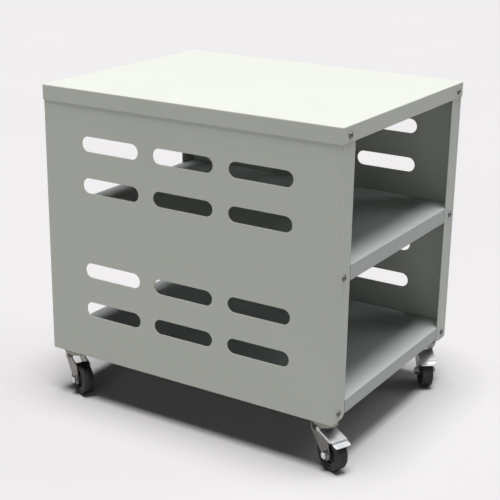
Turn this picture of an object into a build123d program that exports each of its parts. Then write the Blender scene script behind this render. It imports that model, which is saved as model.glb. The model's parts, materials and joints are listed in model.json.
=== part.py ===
from build123d import *
import math
import os

# Mobile printer stand: a folded sheet-steel cabinet, open at the front (-Y) and the rear (+Y),
# with a middle shelf and a base tray, on four swivel casters. Millimetres, +Z up, X across,
# floor at z = 0, origin on the floor under the middle of the cabinet.

# ---- driving dimensions -------------------------------------------------------------------
BODY_WIDTH = 390.0  # over the side panels, along X
BODY_LENGTH = 500.0  # over the panel flanges, along Y
BODY_HEIGHT = 420.0  # bottom edge of the panels to the top surface
FLOOR_GAP = 75.0  # floor to the bottom edge of the panels
SHEET = 1.0  # cabinet sheet thickness
WHEEL_RADIUS = 25.0
PAST = 1.0  # how far a cutter runs past the face it cuts
ROOT = 0.5  # how far a shank runs up into its head
THROUGH = 40.0  # half length of a cutter that goes right across a caster

# ---- cabinet ------------------------------------------------------------------------------
CAP_LIP = 23.0  # height of the cap's rim
CAP_GAP = 0.2  # between the cap's rim and the panels
FLANGE = 35.0  # width of the panels' front and rear flanges
BEND = 2.5  # outside radius of the vertical bends
LIP_BEND = 1.6  # outside radius of the cap's and the shelves' bends
FLANGE_CHAMFER = 5.0  # lower inner corner of each flange

SLOT_LENGTH = 102.0
SLOT_HEIGHT = 23.0
SLOT_PITCH = 128.0
SLOT_ROWS = (81.0, 144.0, 277.0, 340.0)  # centres above the panels' bottom edge

MID_SHELF_TOP = 226.0  # above the panels' bottom edge
MID_LIP = 23.0
BASE_TOP = 26.0
BASE_LIP = 21.0
SHELF_SIDE_GAP = 0.2  # shelf to side panel
LIP_END_GAP = 1.5  # shelf lip to flange edge
SHELF_SIDE_LIP = 18.0
SHELF_SIDE_LIP_SETBACK = 14.0
TAB_INSET = 2.0
TAB_RAISE = 1.0  # tabs above the lip's lower edge

STIFFENER_WEB = 28.0
STIFFENER_FOOT = 10.0
STIFFENER_DEPTH = 16.0

RAIL_SHEET = 1.5
RAIL_WIDTH = 44.4
RAIL_END_GAP = 3.0  # rail's end from the side panel's outer face
RAIL_SCREW_OPENING = 5.5  # radius, clears the tray's screw and nut
RAIL_RAISE = 5.0  # rail's underside above the panels' bottom edge

# ---- cabinet screws (M4 pan head) ---------------------------------------------------------
SCREW_INSET = 17.5  # from the outer face of the side panel
SCREW_RADIUS = 2.0
SCREW_HOLE_RADIUS = 2.2
SCREW_HEAD_RADIUS = 4.4
SCREW_HEAD_HEIGHT = 2.6
SCREW_HEAD_ROUND = 0.7  # share of the head's height that is rounded
SCREW_LENGTH = 10.0
SCREW_NUT_FLATS = 7.0
SCREW_NUT_HEIGHT = 3.2
NUT_CHAMFER = 0.55
NUT_CORNER_MARGIN = 0.2  # chamfer cone outside the hexagon's corners
RECESS_WIDTH = 1.0  # cross recess
RECESS_DEPTH = 1.2
CAP_SCREW_HEIGHT = 407.0  # above the panels' bottom edge
MID_SCREW_HEIGHT = 212.0
BASE_SCREW_HEIGHT = 12.5

# ---- casters ------------------------------------------------------------------------------
CASTER_INSET_X = 26.0  # swivel axis from the side panel's outer face
CASTER_INSET_Y = 25.0  # swivel axis from the flanges' outer face
TRAIL = 20.0  # swivel axis to axle
PLATE_SIDE = 44.0
PLATE_THICKNESS = 2.5
PLATE_CORNER = 4.0
PLATE_HOLE_PITCH = 31.0
PLATE_BOLT_RADIUS = 2.5
PLATE_BOLT_HEAD_RADIUS = 4.0
PLATE_BOLT_HEAD = 3.0
PLATE_BOLT_HEAD_ROUND = 1.2
PLATE_BOLT_END = 1.5  # thread past the nut
PLATE_NUT_FLATS = 8.0
PLATE_NUT_HEIGHT = 4.0
BOLT_CLEARANCE = 0.25

CUP_TOP_RADIUS = 15.5
CUP_RIM_RADIUS = 17.3
CUP_WALL = 1.5
CUP_DEPTH = 4.1

KINGPIN_RADIUS = 5.0
KINGPIN_HEAD_RADIUS = 8.0
KINGPIN_HEAD_HEIGHT = 3.0
KINGPIN_HEAD_ROUND = 0.6  # share of the head's height that is rounded
KINGPIN_HEAD_GAP = 0.3  # head to the fork's underside
KINGPIN_RAIL_CLEARANCE = 1.0
RUNNING_GAP = 0.06  # radial, shaft in a turning hole
BALL_RADIUS = 2.2
BALL_COUNT = 14
BALL_CIRCLE_RADIUS = 11.5

FORK_SHEET = 1.8
FORK_TOP = 72.5
FORK_HEAD_RADIUS = 19.5
FORK_HEAD_DEPTH = 5.0
FORK_HEAD_BEND = 2.0
FORK_FOOT_CORNER = 6.0
FORK_SKIRT_BOTTOM = 52.0
FORK_OPENING_REAR = -2.8  # the skirt is open ahead of this, for the brake pedal
FORK_OPENING_TOP = 64.0
LEG_GAP = 19.6  # between the legs' inner faces
LEG_REAR = -17.0
LEG_BOSS_RADIUS = 8.5

TYRE_WIDTH = 18.0
TYRE_INNER_RADIUS = 17.0
TYRE_SHOULDER = 2.5
TREAD_GROOVES = (-4.0, 0.0, 4.0)
GROOVE_WIDTH = 0.9
GROOVE_DEPTH = 0.7
HUB_RIM_WIDTH = 15.0
HUB_RIM_INNER_RADIUS = 14.5
HUB_WEB = 4.0
HUB_BOSS_RADIUS = 7.5
HUB_BOSS_WIDTH = 19.0
HUB_RIBS = 6
HUB_RIB_THICKNESS = 1.6
HUB_RIB_WIDTH = 11.0

AXLE_RADIUS = 3.0
AXLE_HEAD_FLATS = 10.0
AXLE_HEAD_HEIGHT = 4.0
AXLE_NUT_HEIGHT = 5.0
AXLE_END = 1.8  # thread past the nut
AXLE_END_CHAMFER = 0.6
BUSH_RADIUS = 4.5

PEDAL_SHEET = 1.2
PEDAL_INNER_WIDTH = 24.0
PEDAL_PIN = (3.0, 58.5)  # along the trail, height
PEDAL_PIN_RADIUS = 2.0
PEDAL_PIN_HEAD = 1.2
PEDAL_PIN_HEAD_RADIUS = 3.2
PEDAL_PIN_PLAY = 0.3  # pin head to cheek
PEDAL_REAR = (7.0, 57.0)
PEDAL_BEND = (35.0, 50.0)
PEDAL_STEP = (37.0, 47.0)
PEDAL_TOE = (45.0, 45.0)
PEDAL_CORNER = 3.0
SHOE_WIDTH = 15.0
SHOE_SPAN = (12.0, 28.0)
SHOE_BOTTOM = 44.0
SHOE_GAP = 0.4  # shoe to tyre

# Corner name: side (-1 left, +1 right), end (-1 front, +1 rear), trail heading in degrees, brake.
CASTERS = {
    "front_left": (-1, -1, 246.0, True),
    "front_right": (1, -1, 216.0, True),
    "rear_left": (-1, 1, 244.0, False),
    "rear_right": (1, 1, 66.0, False),
}

# ---- derived ------------------------------------------------------------------------------
HALF_W = BODY_WIDTH / 2
HALF_L = BODY_LENGTH / 2
TOP_Z = FLOOR_GAP + BODY_HEIGHT
PANEL_TOP = TOP_Z - SHEET
FLANGE_EDGE = HALF_W - FLANGE
SCREW_X = HALF_W - SCREW_INSET
PLATE_TOP = FLOOR_GAP + RAIL_RAISE
PLATE_BOTTOM = PLATE_TOP - PLATE_THICKNESS
LEG_INNER = LEG_GAP / 2
LEG_OUTER = LEG_INNER + FORK_SHEET
AXLE = (TRAIL, WHEEL_RADIUS)


def block(x0, x1, y0, y1, z0, z1):
    """Box between two corners."""
    return Pos((x0 + x1) / 2, (y0 + y1) / 2, (z0 + z1) / 2) * Box(x1 - x0, y1 - y0, z1 - z0)


def rod(radius, z0, z1):
    """Upright cylinder about the Z axis."""
    return Pos(0, 0, (z0 + z1) / 2) * Cylinder(radius, z1 - z0)


def cross_rod(radius, x, z, y0, y1):
    """Cylinder along Y at the given x and z."""
    return Pos(x, (y0 + y1) / 2, z) * Rot(90, 0, 0) * Cylinder(radius, y1 - y0)


def hexagon(flats, z0, z1):
    """Upright hexagonal prism about the Z axis."""
    face = RegularPolygon(flats / 2, 6, major_radius=False)
    return Pos(0, 0, z0) * extrude(face, z1 - z0)


def edges_near(shape, axis, **where):
    """Edges parallel to an axis whose centre has the given x, y or z, whatever its sign."""
    found = shape.edges().filter_by(axis)
    for name, value in where.items():
        letter = name.upper()
        found = [e for e in found if abs(abs(getattr(e.center(), letter)) - value) < 1e-3]
    return found


# ---- cabinet sheets -----------------------------------------------------------------------
def screw_holes(shape, height):
    """Holes along Y through whatever stands at the front and rear screw places."""
    for side in (-1, 1):
        shape -= cross_rod(SCREW_HOLE_RADIUS, side * SCREW_X, FLOOR_GAP + height, -HALF_L - 5, HALF_L + 5)
    return shape


def make_side_panel():
    """Left panel: a slotted web with a flange folded in at each open end."""
    panel = block(-HALF_W, -FLANGE_EDGE, -HALF_L, HALF_L, FLOOR_GAP, PANEL_TOP)
    panel = fillet(edges_near(panel, Axis.Z, x=HALF_W), BEND)
    hollow = block(-HALF_W + SHEET, 0, -HALF_L + SHEET, HALF_L - SHEET, FLOOR_GAP - PAST, PANEL_TOP + PAST)
    hollow = fillet([e for e in edges_near(hollow, Axis.Z) if e.center().X < -PAST], BEND - SHEET)
    panel -= hollow
    for end in (-1, 1):
        corner = Pos(-FLANGE_EDGE, end * HALF_L, FLOOR_GAP) * Rot(0, 45, 0)
        panel -= corner * Box(math.sqrt(2) * FLANGE_CHAMFER, 4 * SHEET, math.sqrt(2) * FLANGE_CHAMFER)
    slot = extrude(Plane.YZ * SlotOverall(SLOT_LENGTH, SLOT_HEIGHT), 2 * SHEET, both=True)
    for row in SLOT_ROWS:
        for column in (-1, 0, 1):
            panel -= Pos(-HALF_W, column * SLOT_PITCH, FLOOR_GAP + row) * slot
    for height in (CAP_SCREW_HEIGHT, MID_SCREW_HEIGHT, BASE_SCREW_HEIGHT):
        panel = screw_holes(panel, height)
    return panel


def make_top_cap():
    """Top sheet with a folded rim that drops over the panels."""
    reach = CAP_GAP + SHEET
    cap = block(-HALF_W - reach, HALF_W + reach, -HALF_L - reach, HALF_L + reach, TOP_Z - CAP_LIP, TOP_Z)
    cap = fillet(edges_near(cap, Axis.Z), BEND)
    cap = fillet(cap.faces().sort_by(Axis.Z)[-1].edges(), LIP_BEND)
    inner_w, inner_l = HALF_W + CAP_GAP, HALF_L + CAP_GAP
    hollow = block(-inner_w, inner_w, -inner_l, inner_l, TOP_Z - CAP_LIP - PAST, TOP_Z - SHEET)
    cap -= fillet(edges_near(hollow, Axis.Z), BEND - SHEET)
    return screw_holes(cap, CAP_SCREW_HEIGHT)


def make_shelf(top_height, lip, screw_height):
    """Shelf with folded lips, its corners notched and tabbed behind the panels' flanges."""
    top = FLOOR_GAP + top_height
    bottom = top - lip
    side = HALF_W - SHEET - SHELF_SIDE_GAP
    middle = FLANGE_EDGE - LIP_END_GAP
    behind = HALF_L - SHEET - SHELF_SIDE_GAP
    front = block(-middle, middle, -HALF_L, HALF_L, bottom, top)
    front = fillet(edges_near(front, Axis.X, y=HALF_L, z=top), LIP_BEND)
    inside = HALF_L - SHEET
    front -= block(-middle - PAST, middle + PAST, -inside, inside, bottom - PAST, top - SHEET)
    plate = block(-side, side, -behind, behind, top - SHEET, top)
    shelf = front + fillet(plate.edges().filter_by(Axis.Z), BEND)
    side_lip_end = behind - SHELF_SIDE_LIP_SETBACK
    for s in (-1, 1):
        x0, x1 = sorted((s * side, s * (side - SHEET)))
        shelf += block(x0, x1, -side_lip_end, side_lip_end, top - SHELF_SIDE_LIP, top)
        x0, x1 = sorted((s * (FLANGE_EDGE + TAB_INSET), s * (side - 2 * TAB_INSET)))
        for end in (-1, 1):
            y0, y1 = sorted((end * behind, end * (behind - SHEET)))
            shelf += block(x0, x1, y0, y1, bottom + TAB_RAISE, top)
    return screw_holes(shelf, screw_height)


def make_stiffener(top):
    """Hat section along Y between the lips, its feet against the sheet above."""
    half_length = HALF_L - SHEET
    half = STIFFENER_WEB / 2
    bottom = top - STIFFENER_DEPTH
    hat = block(-half, half, -half_length, half_length, bottom, top)
    inner = half - SHEET
    ends = half_length + PAST
    hat -= block(-inner, inner, -ends, ends, bottom + SHEET, top + PAST)
    for s in (-1, 1):
        x0, x1 = sorted((s * (half - SHEET), s * (half + STIFFENER_FOOT)))
        hat += block(x0, x1, -half_length, half_length, top - SHEET, top)
    return hat


def caster_places():
    """Swivel axis of each corner."""
    for name, (side, end, heading, brake) in CASTERS.items():
        x = side * (HALF_W - CASTER_INSET_X)
        y = end * (HALF_L - CASTER_INSET_Y)
        yield name, x, y, heading, brake


def bolt_places(x, y):
    """Places of the four bolts of the caster whose swivel axis is at x, y."""
    for dx in (-1, 1):
        for dy in (-1, 1):
            yield x + dx * PLATE_HOLE_PITCH / 2, y + dy * PLATE_HOLE_PITCH / 2


def make_caster_rail(end):
    """Channel across the underside of the base tray, which two casters bolt to."""
    centre = end * (HALF_L - CASTER_INSET_Y)
    y0, y1 = centre - RAIL_WIDTH / 2, centre + RAIL_WIDTH / 2
    half_x = HALF_W - RAIL_END_GAP
    tray_underside = FLOOR_GAP + BASE_TOP - SHEET
    rail = block(-half_x, half_x, y0, y1, PLATE_TOP, tray_underside)
    inner = PLATE_TOP + RAIL_SHEET
    ends = half_x + PAST
    rail -= block(-ends, ends, y0 + RAIL_SHEET, y1 - RAIL_SHEET, inner, tray_underside + PAST)
    for side in (-1, 1):
        screw_z = FLOOR_GAP + BASE_SCREW_HEIGHT
        y_web, y_leg = sorted((centre, end * HALF_L))
        rail -= cross_rod(RAIL_SCREW_OPENING, side * SCREW_X, screw_z, y_web, y_leg)
    for name, x, y, heading, brake in caster_places():
        if y * end > 0:
            pin_hole = rod(KINGPIN_RADIUS + KINGPIN_RAIL_CLEARANCE, PLATE_TOP - PAST, inner + PAST)
            bolt_hole = rod(PLATE_BOLT_RADIUS + BOLT_CLEARANCE, PLATE_TOP - PAST, inner + PAST)
            rail -= Pos(x, y, 0) * pin_hole
            for bx, by in bolt_places(x, y):
                rail -= Pos(bx, by, 0) * bolt_hole
    return rail


# ---- fasteners ----------------------------------------------------------------------------
def make_panel_screw():
    """Cross-recessed pan head screw along +Z, head underside at z = 0."""
    head = Pos(0, 0, -SCREW_HEAD_HEIGHT / 2) * Cylinder(SCREW_HEAD_RADIUS, SCREW_HEAD_HEIGHT)
    head = fillet(head.edges().sort_by(Axis.Z)[0], SCREW_HEAD_HEIGHT * SCREW_HEAD_ROUND)
    for turn in (0, 90):
        bar = Box(SCREW_HEAD_RADIUS, RECESS_WIDTH, RECESS_DEPTH)
        head -= Pos(0, 0, -SCREW_HEAD_HEIGHT + RECESS_DEPTH / 2) * Rot(0, 0, turn) * bar
    return head + rod(SCREW_RADIUS, -ROOT, SCREW_LENGTH)


def make_nut(flats, height, hole):
    """Hexagon nut from z = 0 up, chamfered at both faces."""
    nut = hexagon(flats, 0, height)
    drum = rod(flats / math.sqrt(3) + NUT_CORNER_MARGIN, 0, height)
    drum = chamfer(drum.edges().filter_by(GeomType.CIRCLE), NUT_CHAMFER)
    return (nut & drum) - rod(hole, -PAST, height + PAST)


def screw_group(height, face_gap, stack):
    """Screws and nuts of one level; stack is the clamped thickness behind the head."""
    screws, nuts = [], []
    for end in (-1, 1):
        for side in (-1, 1):
            face_y = end * (HALF_L + face_gap)
            place = Pos(side * SCREW_X, face_y, FLOOR_GAP + height) * Rot(90 * end, 0, 0)
            screws.append(place * make_panel_screw())
            nut = make_nut(SCREW_NUT_FLATS, SCREW_NUT_HEIGHT, SCREW_RADIUS)
            nuts.append(place * Pos(0, 0, stack) * nut)
    return Compound(screws), Compound(nuts)


def make_plate_bolts():
    """All bolts and nuts that hold the caster plates to the rails."""
    bolts, nuts = [], []
    for corner, x, y, heading, brake in caster_places():
        for bx, by in bolt_places(x, y):
            head = rod(PLATE_BOLT_HEAD_RADIUS, PLATE_BOTTOM - PLATE_BOLT_HEAD, PLATE_BOTTOM)
            head = fillet(head.edges().sort_by(Axis.Z)[0], PLATE_BOLT_HEAD_ROUND)
            nut_seat = PLATE_TOP + RAIL_SHEET
            shank_end = nut_seat + PLATE_NUT_HEIGHT + PLATE_BOLT_END
            shank = rod(PLATE_BOLT_RADIUS, PLATE_BOTTOM - ROOT, shank_end)
            bolts.append(Pos(bx, by, 0) * (head + shank))
            nut = make_nut(PLATE_NUT_FLATS, PLATE_NUT_HEIGHT, PLATE_BOLT_RADIUS)
            nuts.append(Pos(bx, by, nut_seat) * nut)
    return Compound(bolts), Compound(nuts)


# ---- caster, trailing along +X from a swivel axis at the origin ----------------------------
def make_caster_plate():
    """Square mounting plate with the bearing's upper cup under it."""
    half = PLATE_SIDE / 2
    plate = block(-half, half, -half, half, PLATE_BOTTOM, PLATE_TOP)
    plate = fillet(plate.edges().filter_by(Axis.Z), PLATE_CORNER)
    rim_z = PLATE_BOTTOM - CUP_DEPTH
    cup_section = Polyline(
        (CUP_TOP_RADIUS - CUP_WALL, PLATE_BOTTOM + PAST),
        (CUP_TOP_RADIUS, PLATE_BOTTOM + PAST),
        (CUP_TOP_RADIUS, PLATE_BOTTOM),
        (CUP_RIM_RADIUS, rim_z),
        (CUP_RIM_RADIUS - CUP_WALL, rim_z),
        (CUP_TOP_RADIUS - CUP_WALL, PLATE_BOTTOM),
        close=True,
    )
    plate += revolve(Plane.XZ * make_face(cup_section), Axis.Z)
    plate -= rod(KINGPIN_RADIUS, PLATE_BOTTOM - PAST, PLATE_TOP + PAST)
    bolt_hole = rod(PLATE_BOLT_RADIUS + BOLT_CLEARANCE, PLATE_BOTTOM - PAST, PLATE_TOP + PAST)
    for x, y in bolt_places(0, 0):
        plate -= Pos(x, y, 0) * bolt_hole
    return plate


def make_kingpin():
    """Rivet that the fork turns on."""
    head_top = FORK_TOP - FORK_SHEET - KINGPIN_HEAD_GAP
    head = rod(KINGPIN_HEAD_RADIUS, head_top - KINGPIN_HEAD_HEIGHT, head_top)
    head = fillet(head.edges().sort_by(Axis.Z)[0], KINGPIN_HEAD_HEIGHT * KINGPIN_HEAD_ROUND)
    return head + rod(KINGPIN_RADIUS, head_top - ROOT, PLATE_TOP)


def make_balls():
    """Ring of bearing balls between the plate and the fork."""
    z = (FORK_TOP + PLATE_BOTTOM) / 2
    step = 360 / BALL_COUNT
    balls = []
    for i in range(BALL_COUNT):
        balls.append(Rot(0, 0, i * step) * Pos(BALL_CIRCLE_RADIUS, 0, z) * Sphere(BALL_RADIUS))
    return Compound(balls)


def fork_skirt(inset, z_top):
    """Solid that narrows from the round head to the straight-sided legs."""
    head = Plane.XY.offset(z_top) * Circle(FORK_HEAD_RADIUS - inset)
    length = FORK_HEAD_RADIUS - LEG_REAR - 2 * inset
    middle = (FORK_HEAD_RADIUS + LEG_REAR) / 2
    foot_plane = Plane.XY.offset(FORK_SKIRT_BOTTOM) * Pos(middle, 0)
    foot = foot_plane * RectangleRounded(length, 2 * (LEG_OUTER - inset), FORK_FOOT_CORNER - inset)
    return loft([foot, head])


def make_fork():
    """Pressed fork: round head, tapering skirt open at the front, two legs."""
    shoulder = FORK_TOP - FORK_HEAD_DEPTH
    head = fillet(rod(FORK_HEAD_RADIUS, shoulder, FORK_TOP).edges().sort_by(Axis.Z)[-1], FORK_HEAD_BEND)
    head -= rod(FORK_HEAD_RADIUS - FORK_SHEET, shoulder - PAST, FORK_TOP - FORK_SHEET)
    skirt = fork_skirt(0, shoulder) - fork_skirt(FORK_SHEET, shoulder)
    skirt_cut_low = FORK_SKIRT_BOTTOM - PAST
    skirt -= block(FORK_OPENING_REAR, THROUGH, -THROUGH, THROUGH, skirt_cut_low, FORK_OPENING_TOP)
    ax, az = AXLE
    outline = Polyline(
        (LEG_REAR, 62.0),
        (LEG_REAR, FORK_SKIRT_BOTTOM),
        (ax - 6.4, az - 5.6),
        (ax + 7.0, az - 4.8),
        (ax + LEG_BOSS_RADIUS, az + 1.0),
        (ax + 3.0, FORK_SKIRT_BOTTOM - 2.5),
        (6.5, 55.0),
        (5.0, 58.0),
        (6.5, 66.0),
        (-6.0, 66.0),
        close=True,
    )
    leg_face = make_face(outline) + Pos(ax, az) * Circle(LEG_BOSS_RADIUS)
    fork = head + skirt
    for side in (-1, 1):
        y0 = side * (LEG_INNER + FORK_SHEET / 2)
        leg = Pos(0, y0, 0) * extrude(Plane.XZ * leg_face, FORK_SHEET / 2, both=True)
        fork += leg
    fork -= rod(KINGPIN_RADIUS + RUNNING_GAP, FORK_SKIRT_BOTTOM, FORK_TOP + PAST)
    fork -= cross_rod(AXLE_RADIUS, ax, az, -THROUGH, THROUGH)
    fork -= cross_rod(PEDAL_PIN_RADIUS, *PEDAL_PIN, -THROUGH, THROUGH)
    return fork


def make_tyre():
    """Rubber tyre with rounded shoulders and shallow tread grooves."""
    tyre = Cylinder(WHEEL_RADIUS, TYRE_WIDTH)
    tyre = fillet(tyre.edges().filter_by(GeomType.CIRCLE), TYRE_SHOULDER)
    tyre -= Cylinder(TYRE_INNER_RADIUS, TYRE_WIDTH + 2 * PAST)
    for offset in TREAD_GROOVES:
        core = Cylinder(WHEEL_RADIUS - GROOVE_DEPTH, GROOVE_WIDTH + PAST)
        ring = Cylinder(WHEEL_RADIUS + PAST, GROOVE_WIDTH) - core
        tyre -= Pos(0, 0, offset) * ring
    return tyre


def make_hub():
    """Moulded wheel centre: rim, web with ribs, boss."""
    hollow = Cylinder(HUB_RIM_INNER_RADIUS, HUB_RIM_WIDTH + 2 * PAST)
    hub = Cylinder(TYRE_INNER_RADIUS, HUB_RIM_WIDTH) - hollow
    hub += Cylinder(HUB_RIM_INNER_RADIUS + ROOT, HUB_WEB)
    hub += Cylinder(HUB_BOSS_RADIUS, HUB_BOSS_WIDTH)
    rib_length = HUB_RIM_INNER_RADIUS - HUB_BOSS_RADIUS + 2 * ROOT
    rib_middle = (HUB_RIM_INNER_RADIUS + HUB_BOSS_RADIUS) / 2
    for i in range(HUB_RIBS):
        rib = Pos(rib_middle, 0, 0) * Box(rib_length, HUB_RIB_THICKNESS, HUB_RIB_WIDTH)
        hub += Rot(0, 0, i * 360 / HUB_RIBS) * rib
    return hub - Cylinder(BUSH_RADIUS + RUNNING_GAP, HUB_BOSS_WIDTH + 2 * PAST)


def on_axle(shape):
    """Lays a piece made about the Z axis along the axle."""
    ax, az = AXLE
    return Pos(ax, 0, az) * Rot(90, 0, 0) * shape


def make_axle_bolt():
    """Bolt through the fork legs, head on the +Y side."""
    end = LEG_OUTER + AXLE_NUT_HEIGHT + AXLE_END
    head = hexagon(AXLE_HEAD_FLATS, -LEG_OUTER - AXLE_HEAD_HEIGHT, -LEG_OUTER)
    shank = rod(AXLE_RADIUS, -LEG_OUTER - ROOT, end)
    shank = chamfer(shank.edges().filter_by(GeomType.CIRCLE).sort_by(Axis.Z)[-1], AXLE_END_CHAMFER)
    return on_axle(head + shank)


def make_axle_nut():
    """Nut on the -Y end of the axle bolt."""
    nut = Pos(0, 0, LEG_OUTER) * make_nut(AXLE_HEAD_FLATS, AXLE_NUT_HEIGHT, AXLE_RADIUS)
    return on_axle(nut)


def make_axle_bush():
    """Steel sleeve between the legs that the hub turns on."""
    return on_axle(Cylinder(BUSH_RADIUS, LEG_GAP) - Cylinder(AXLE_RADIUS, LEG_GAP + 2 * PAST))


def pedal_strip(points, half_width):
    """Sheet of the pedal's thickness hung under a line of (x, z) points."""
    lower = [(x, z - PEDAL_SHEET) for x, z in reversed(points)]
    section = Polyline(*points, *lower, close=True)
    return extrude(Plane.XZ * make_face(section), half_width, both=True)


def make_brake_pedal():
    """Foot pedal: sloping plate, stepped toe, and cheeks outside the fork legs."""
    inner = PEDAL_INNER_WIDTH / 2
    outer = inner + PEDAL_SHEET
    pedal = pedal_strip([PEDAL_REAR, PEDAL_BEND, PEDAL_STEP, PEDAL_TOE], outer)
    toe_edges = [e for e in pedal.edges().filter_by(Axis.Z) if e.center().X > PEDAL_TOE[0] - 0.1]
    pedal = fillet(toe_edges, PEDAL_CORNER)
    pin_x, pin_z = PEDAL_PIN
    cheek_outline = Polyline(
        PEDAL_BEND,
        PEDAL_REAR,
        (pin_x + 2.0, pin_z + 4.2),
        (pin_x - 3.0, pin_z + 3.6),
        (pin_x - 4.6, pin_z),
        (pin_x - 3.0, pin_z - 3.6),
        (pin_x + 2.0, pin_z - 4.6),
        (PEDAL_BEND[0] - 6.0, PEDAL_BEND[1] - 3.5),
        (PEDAL_BEND[0], PEDAL_BEND[1] - PEDAL_SHEET),
        close=True,
    )
    for side in (-1, 1):
        y = side * (inner + PEDAL_SHEET / 2)
        cheek = extrude(Plane.XZ * make_face(cheek_outline), PEDAL_SHEET / 2, both=True)
        pedal += Pos(0, y, 0) * cheek
    return pedal - cross_rod(PEDAL_PIN_RADIUS + RUNNING_GAP, pin_x, pin_z, -THROUGH, THROUGH)


def make_brake_pin():
    """Headed pin through the legs and the pedal's cheeks."""
    pin_x, pin_z = PEDAL_PIN
    reach = PEDAL_INNER_WIDTH / 2 + PEDAL_SHEET + PEDAL_PIN_PLAY
    pin = cross_rod(PEDAL_PIN_RADIUS, pin_x, pin_z, -reach - ROOT, reach + ROOT)
    for side in (-1, 1):
        y0, y1 = sorted((side * reach, side * (reach + PEDAL_PIN_HEAD)))
        pin += cross_rod(PEDAL_PIN_HEAD_RADIUS, pin_x, pin_z, y0, y1)
    return pin


def make_brake_shoe():
    """Block under the pedal plate, hollowed to the tyre's curve."""
    slope = (PEDAL_REAR[1] - PEDAL_BEND[1]) / (PEDAL_BEND[0] - PEDAL_REAR[0])
    x0, x1 = SHOE_SPAN
    roof = [(x, PEDAL_REAR[1] - slope * (x - PEDAL_REAR[0]) - PEDAL_SHEET) for x in (x0, x1)]
    section = Polyline(roof[0], roof[1], (x1, SHOE_BOTTOM), (x0, SHOE_BOTTOM), close=True)
    shoe = extrude(Plane.XZ * make_face(section), SHOE_WIDTH / 2, both=True)
    return shoe - cross_rod(WHEEL_RADIUS + SHOE_GAP, *AXLE, -THROUGH, THROUGH)


def make_caster(brake):
    """All pieces of one caster in its own frame."""
    pieces = {
        "caster_plate": make_caster_plate(),
        "kingpin": make_kingpin(),
        "bearing_balls": make_balls(),
        "fork": make_fork(),
        "wheel_hub": on_axle(make_hub()),
        "tyre": on_axle(make_tyre()),
        "axle_bolt": make_axle_bolt(),
        "axle_nut": make_axle_nut(),
        "axle_bush": make_axle_bush(),
    }
    if brake:
        pieces["brake_pedal"] = make_brake_pedal()
        pieces["brake_pin"] = make_brake_pin()
        pieces["brake_shoe"] = make_brake_shoe()
    return pieces


def make_parts():
    """Every node of the stand by name."""
    left_panel = make_side_panel()
    parts = {
        "top_cap": make_top_cap(),
        "left_side_panel": left_panel,
        "right_side_panel": mirror(left_panel, Plane.YZ),
        "mid_shelf": make_shelf(MID_SHELF_TOP, MID_LIP, MID_SCREW_HEIGHT),
        "base_shelf": make_shelf(BASE_TOP, BASE_LIP, BASE_SCREW_HEIGHT),
        "front_caster_rail": make_caster_rail(-1),
        "rear_caster_rail": make_caster_rail(1),
    }
    parts["mid_shelf_stiffener"] = make_stiffener(FLOOR_GAP + MID_SHELF_TOP - SHEET)
    parts["top_stiffener"] = make_stiffener(PANEL_TOP)
    shelf_stack = 2 * SHEET + SHELF_SIDE_GAP
    levels = {
        "cap": (CAP_SCREW_HEIGHT, SHEET + CAP_GAP, 2 * SHEET + CAP_GAP),
        "mid_shelf": (MID_SCREW_HEIGHT, 0, shelf_stack),
        "base_shelf": (BASE_SCREW_HEIGHT, 0, shelf_stack),
    }
    for level, (height, face_gap, stack) in levels.items():
        parts[level + "_screws"], parts[level + "_nuts"] = screw_group(height, face_gap, stack)
    parts["caster_bolts"], parts["caster_nuts"] = make_plate_bolts()
    kits = {brake: make_caster(brake) for brake in (False, True)}
    for corner, x, y, heading, brake in caster_places():
        for piece, shape in kits[brake].items():
            turn = 0 if piece == "caster_plate" else heading  # the plate stays square
            parts[corner + "_" + piece] = Pos(x, y, 0) * Rot(0, 0, turn) * shape
    return parts


os.makedirs("parts", exist_ok=True)
for node, shape in make_parts().items():
    export_step(shape, "parts/" + node + ".step")
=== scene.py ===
import json
import math

import bpy
from mathutils import Matrix, Vector


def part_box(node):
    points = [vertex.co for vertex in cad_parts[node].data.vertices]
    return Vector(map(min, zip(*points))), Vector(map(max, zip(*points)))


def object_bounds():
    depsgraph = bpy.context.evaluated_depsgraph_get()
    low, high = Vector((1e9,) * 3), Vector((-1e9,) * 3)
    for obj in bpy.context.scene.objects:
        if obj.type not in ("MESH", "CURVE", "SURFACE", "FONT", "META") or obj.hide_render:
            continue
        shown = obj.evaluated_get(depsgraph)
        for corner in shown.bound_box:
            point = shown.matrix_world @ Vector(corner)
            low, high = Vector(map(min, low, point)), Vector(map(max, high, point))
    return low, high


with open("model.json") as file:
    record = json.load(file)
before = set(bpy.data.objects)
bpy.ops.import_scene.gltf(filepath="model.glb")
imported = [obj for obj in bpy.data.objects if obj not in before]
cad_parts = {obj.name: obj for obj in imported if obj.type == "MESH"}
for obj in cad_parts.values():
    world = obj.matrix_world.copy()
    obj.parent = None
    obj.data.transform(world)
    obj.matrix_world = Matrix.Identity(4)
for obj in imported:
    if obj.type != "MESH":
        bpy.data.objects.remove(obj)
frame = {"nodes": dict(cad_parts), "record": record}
cad_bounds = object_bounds()

# ---- camera: the photographed unit's viewing angle, in body heights --------------------------
VIEW_AZIMUTH = -58.23
VIEW_ELEVATION = 18.63
VIEW_ROLL = 0.83
VIEW_DISTANCE = 4.399
VIEW_OFFSET = (-0.017, -0.125)  # right and up of the line through the body's centre
SENSOR = 36.0
LENS = 85.4

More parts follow.
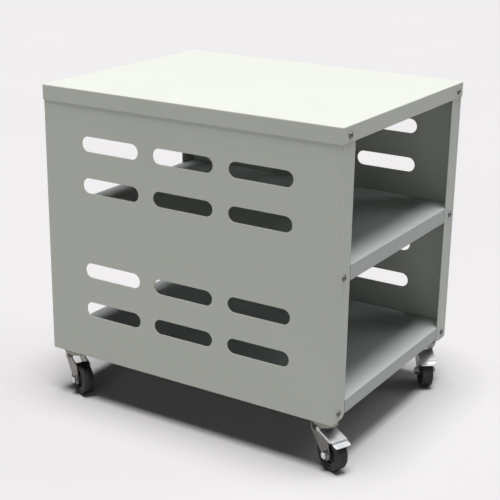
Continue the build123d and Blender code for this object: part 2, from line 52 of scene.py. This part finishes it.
# ---- colours and finishes --------------------------------------------------------------------
PAINT_GREY = (0.412, 0.436, 0.394)
SHELF_GREY = (0.345, 0.370, 0.358)
FRAME_PAINTED_SHADE = 0.95  # rails and stiffeners, painted darker than the panels as painted shade for their place under the base and shelves
DUST_GREY = (0.075, 0.074, 0.07)
SHOE_BLACK = (0.02, 0.02, 0.02)
TYRE_BLACK = (0.022, 0.023, 0.024)
HUB_BLACK = (0.055, 0.057, 0.06)
PAINT_ROUGHNESS = 0.5
PAINT_EDGE = 0.0009  # radius of rounded edges, metres
METAL_EDGE = 0.0005
NOISE_MIDDLE = (0.3, 0.7)  # band that holds most of a noise texture's values
# metals: colour, roughness
METALS = {
    "screw": ((0.17, 0.17, 0.17), 0.34),
    "caster": ((0.55, 0.55, 0.54), 0.26),
    "fastener": ((0.8, 0.81, 0.82), 0.34),
    "ball": ((0.75, 0.76, 0.78), 0.12),
    "pedal": ((0.80, 0.82, 0.83), 0.42),
    # fork and caster plate: the caster zinc darkened as painted shade, for the shadow under the body
    "fork": ((0.25, 0.242, 0.222), 0.3),
    "plate": ((0.16, 0.16, 0.16), 0.4),
}

# ---- studio light ----------------------------------------------------------------------------
FLOOR_REACH = 9.0  # metres from the middle to each edge
FLOOR_TONES = (0.355, 0.365)
AMBIENT = 0.05  # how strongly the surround lights the object
BACKDROP = 0.84  # how bright the surround looks
# name, direction the light comes from, strength, softness in degrees, colour
LAMPS = (
    ("overhead", (-0.06, -0.03, 1.0), 7.0, 28.0, (1.0, 0.97, 0.985)),
    ("key", (0.62, -0.55, 0.85), 0.7, 32.0, (0.95, 0.98, 1.0)),
    ("fill", (-1.0, -0.10, 0.30), 0.4, 35.0, (0.96, 1.0, 0.94)),
)


def cabinet_box():
    """Lowest and highest corner of the sheet-metal body."""
    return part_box("left_side_panel")[0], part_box("top_cap")[1]


def add_camera():
    """Camera on the photographed line of sight, at a distance set by the body's height."""
    low, high = cabinet_box()
    height = high.z - low.z
    centre = Vector((0, 0, (low.z + high.z) / 2))
    azimuth, elevation = math.radians(VIEW_AZIMUTH), math.radians(VIEW_ELEVATION)
    back = Vector((
        math.sin(azimuth) * math.cos(elevation),
        -math.cos(azimuth) * math.cos(elevation),
        math.sin(elevation),
    ))
    level = Vector((0, 0, 1)).cross(back).normalized()
    raised = back.cross(level)
    roll = math.radians(VIEW_ROLL)
    right = level * math.cos(roll) + raised * math.sin(roll)
    up = raised * math.cos(roll) - level * math.sin(roll)
    data = bpy.data.cameras.new("camera")
    data.sensor_width = SENSOR
    data.lens = LENS
    camera = bpy.data.objects.new("camera", data)
    place = centre + height * (VIEW_OFFSET[0] * right + VIEW_OFFSET[1] * up + VIEW_DISTANCE * back)
    camera.matrix_world = Matrix.Translation(place) @ Matrix((right, up, back)).transposed().to_4x4()
    bpy.context.scene.collection.objects.link(camera)
    bpy.context.scene.camera = camera


# ---- node helpers ----------------------------------------------------------------------------
class Shader:
    """A material's node tree with short calls for the nodes used here."""

    def __init__(self, name):
        self.material = bpy.data.materials.new(name)
        self.material.use_nodes = True
        self.tree = self.material.node_tree
        self.surface = next(n for n in self.tree.nodes if n.type == "BSDF_PRINCIPLED")
        coordinates = self.tree.nodes.new("ShaderNodeTexCoord")
        self.place = coordinates.outputs["Object"]

    def node(self, kind, **settings):
        """New node, with its own attributes and its inputs' values set by name."""
        made = self.tree.nodes.new("ShaderNode" + kind)
        for key, value in settings.items():
            if key in made.inputs:
                self.feed(made.inputs[key], value)
            else:
                setattr(made, key, value)
        return made

    def feed(self, socket, value):
        """Links an output socket, or sets a plain value."""
        if isinstance(value, bpy.types.NodeSocket):
            self.tree.links.new(value, socket)
        else:
            socket.default_value = value

    def noise(self, scale, detail=2.0, roughness=0.5):
        """Noise value in the object's own metres."""
        made = self.node("TexNoise", Scale=scale, Detail=detail, Roughness=roughness)
        self.feed(made.inputs["Vector"], self.place)
        return made.outputs["Fac"]

    def spread(self, value, low, high, start=0.0, end=1.0):
        """Maps value from start..end to low..high."""
        made = self.node("MapRange")
        self.feed(made.inputs["Value"], value)
        for name, number in (("From Min", start), ("From Max", end), ("To Min", low), ("To Max", high)):
            made.inputs[name].default_value = number
        return made.outputs["Result"]

    def mix(self, factor, first, second):
        """Mixes two colours."""
        made = self.tree.nodes.new("ShaderNodeMix")
        made.data_type = "RGBA"
        self.feed(made.inputs[0], factor)
        for socket, value in ((made.inputs[6], first), (made.inputs[7], second)):
            self.feed(socket, value if isinstance(value, bpy.types.NodeSocket) else (*value, 1.0))
        return made.outputs[2]

    def times(self, first, second):
        """Product of two numbers."""
        made = self.tree.nodes.new("ShaderNodeMath")
        made.operation = "MULTIPLY"
        self.feed(made.inputs[0], first)
        self.feed(made.inputs[1], second)
        return made.outputs[0]

    def bump(self, height, distance, strength, under=None):
        """Bump from a height field, distance in metres."""
        made = self.node("Bump", Strength=strength, Distance=distance)
        self.feed(made.inputs["Height"], height)
        if under is not None:
            self.feed(made.inputs["Normal"], under)
        return made.outputs["Normal"]

    def edges(self, radius):
        """1 along the shape's sharp edges, 0 on its flats."""
        bevel = self.node("Bevel", samples=4, Radius=radius)
        geometry = self.tree.nodes.new("ShaderNodeNewGeometry")
        dot = self.tree.nodes.new("ShaderNodeVectorMath")
        dot.operation = "DOT_PRODUCT"
        self.feed(dot.inputs[0], bevel.outputs["Normal"])
        self.feed(dot.inputs[1], geometry.outputs["Normal"])
        return self.spread(dot.outputs["Value"], 1.0, 0.0, 0.6, 0.995), bevel.outputs["Normal"]

    def set(self, **inputs):
        """Sets the shader's own sockets."""
        for key, value in inputs.items():
            self.feed(self.surface.inputs[key.replace("_", " ")], value)
        return self.material


def scaled(colour, factor):
    """Colour times a factor."""
    return tuple(min(1.0, c * factor) for c in colour)


# ---- materials -------------------------------------------------------------------------------
def powder_coat(name, colour):
    """Baked paint on sheet steel: orange peel, faint cloudiness, thin bright edges."""
    s = Shader(name)
    cloud = s.noise(9.0, 3.0)
    speck = s.noise(900.0, 2.0)
    base = s.mix(s.spread(cloud, 0.0, 1.0, *NOISE_MIDDLE), scaled(colour, 0.992), scaled(colour, 1.008))
    base = s.mix(s.spread(speck, 0.0, 0.35, 0.55, 0.75), base, scaled(colour, 0.9))
    edge, rounded = s.edges(PAINT_EDGE)
    base = s.mix(s.times(edge, 0.35), base, scaled(colour, 1.25))
    peel = s.bump(s.noise(420.0, 3.0, 0.55), 0.00012, 0.5, rounded)
    rough = s.spread(s.noise(35.0, 4.0), PAINT_ROUGHNESS - 0.02, PAINT_ROUGHNESS + 0.03, *NOISE_MIDDLE)
    return s.set(Base_Color=base, Roughness=rough, Normal=peel, Specular_IOR_Level=0.2)


def metal(name, colour, roughness):
    """Plated steel: slightly cloudy, with brighter edges."""
    s = Shader(name)
    cloud = s.noise(60.0, 2.0, 0.5)
    base = s.mix(s.spread(cloud, 0.0, 1.0, *NOISE_MIDDLE), scaled(colour, 0.88), colour)
    edge, rounded = s.edges(METAL_EDGE)
    base = s.mix(s.times(edge, 0.4), base, scaled(colour, 1.2))
    rough = s.spread(s.noise(90.0, 3.0, 0.5), roughness - 0.04, roughness + 0.05, *NOISE_MIDDLE)
    grain = s.bump(s.noise(700.0, 2.0, 0.5), 0.00002, 0.3, rounded)
    return s.set(Base_Color=base, Metallic=1.0, Roughness=rough, Normal=grain)


def rubber(name, colour):
    """Black tread rubber, matt, with dust in its pores."""
    s = Shader(name)
    pores = s.noise(700.0, 4.0, 0.6)
    scuff = s.spread(s.noise(60.0, 5.0, 0.65), 0.0, 0.5, 0.5, 0.75)
    base = s.mix(scuff, colour, DUST_GREY)
    rough = s.spread(pores, 0.5, 0.72, *NOISE_MIDDLE)
    grain = s.bump(pores, 0.0001, 0.5)
    return s.set(Base_Color=base, Roughness=rough, Normal=grain, Specular_IOR_Level=0.4)


def plastic(name, colour):
    """Moulded plastic with a fine spark texture."""
    s = Shader(name)
    spark = s.noise(1100.0, 2.0, 0.6)
    cloud = s.spread(s.noise(80.0, 3.0), 0.0, 1.0, 0.35, 0.65)
    base = s.mix(cloud, scaled(colour, 0.85), scaled(colour, 1.1))
    edge, rounded = s.edges(METAL_EDGE)
    base = s.mix(s.times(edge, 0.3), base, scaled(colour, 1.6))
    return s.set(
        Base_Color=base,
        Roughness=s.spread(spark, 0.38, 0.55, *NOISE_MIDDLE),
        Normal=s.bump(spark, 0.00006, 0.5, rounded),
    )


def paint_nodes():
    """Gives every CAD node the material of its kind of piece, or else of its slot."""
    slot_looks = {
        "cap_paint": powder_coat("cap_powder_coat", PAINT_GREY),
        "panel_paint": powder_coat("panel_powder_coat", PAINT_GREY),
        "shelf_paint": powder_coat("shelf_powder_coat", SHELF_GREY),
        # rails and stiffeners: the panel grey darkened as painted shade
        "frame_paint": powder_coat("frame_powder_coat", scaled(PAINT_GREY, FRAME_PAINTED_SHADE)),
        "screws": metal("screw_zinc", *METALS["screw"]),
        "caster_zinc": metal("caster_zinc", *METALS["caster"]),
        "caster_fasteners": metal("fastener_zinc", *METALS["fastener"]),
        "bright_steel": metal("ball_steel", *METALS["ball"]),
        "brake_shoe": rubber("shoe_rubber", SHOE_BLACK),
        "tyre": rubber("tyre_rubber", TYRE_BLACK),
        "hub": plastic("hub_plastic", HUB_BLACK),
    }
    piece_looks = {
        "brake_pedal": metal("pedal_zinc", *METALS["pedal"]),
        # fork and caster plate are darker copies of the caster zinc, as painted shade
        "fork": metal("fork_zinc_painted_shade", *METALS["fork"]),
        "caster_plate": metal("plate_zinc_painted_shade", *METALS["plate"]),
    }
    slots = {part["node"]: part["material_slot"] for part in frame["record"]["subparts"]}
    for node, shape in frame["nodes"].items():
        kinds = [kind for kind in piece_looks if node.endswith(kind)]
        look = piece_looks[kinds[0]] if kinds else slot_looks[slots[node]]
        shape.data.materials.clear()
        shape.data.materials.append(look)


# ---- studio ----------------------------------------------------------------------------------
def soft_sun(name, source, strength, softness, colour):
    """Soft parallel light coming from a direction."""
    data = bpy.data.lights.new(name, "SUN")
    data.energy = strength
    data.color = colour
    data.angle = math.radians(softness)
    lamp = bpy.data.objects.new(name, data)
    lamp.rotation_euler = Vector(source).to_track_quat("Z", "Y").to_euler()
    bpy.context.scene.collection.objects.link(lamp)


def add_floor():
    """Level pale grey floor under the wheels."""
    level = cad_bounds[0][2]
    signs = ((-1, -1), (1, -1), (1, 1), (-1, 1))
    corners = [(x * FLOOR_REACH, y * FLOOR_REACH, level) for x, y in signs]
    mesh = bpy.data.meshes.new("floor")
    mesh.from_pydata(corners, [], [(0, 1, 2, 3)])
    floor = bpy.data.objects.new("floor", mesh)
    bpy.context.scene.collection.objects.link(floor)
    s = Shader("floor_white")
    dark, light = [(tone,) * 3 for tone in FLOOR_TONES]
    tone = s.mix(s.noise(2.0), dark, light)
    mesh.materials.append(s.set(Base_Color=tone, Roughness=0.9, Specular_IOR_Level=0.1))


def add_surround():
    """Pale backdrop that lights the object only weakly."""
    world = bpy.data.worlds.new("studio")
    world.use_nodes = True
    tree = world.node_tree
    path = tree.nodes.new("ShaderNodeLightPath")
    strength = tree.nodes.new("ShaderNodeMapRange")
    tree.links.new(path.outputs["Is Camera Ray"], strength.inputs["Value"])
    strength.inputs["To Min"].default_value = AMBIENT
    strength.inputs["To Max"].default_value = BACKDROP
    background = tree.nodes["Background"]
    background.inputs["Color"].default_value = (1, 1, 1, 1)
    tree.links.new(strength.outputs["Result"], background.inputs["Strength"])
    bpy.context.scene.world = world


paint_nodes()
add_camera()
for lamp in LAMPS:
    soft_sun(*lamp)
add_floor()
add_surround()
bpy.context.scene.view_settings.view_transform = "Standard"
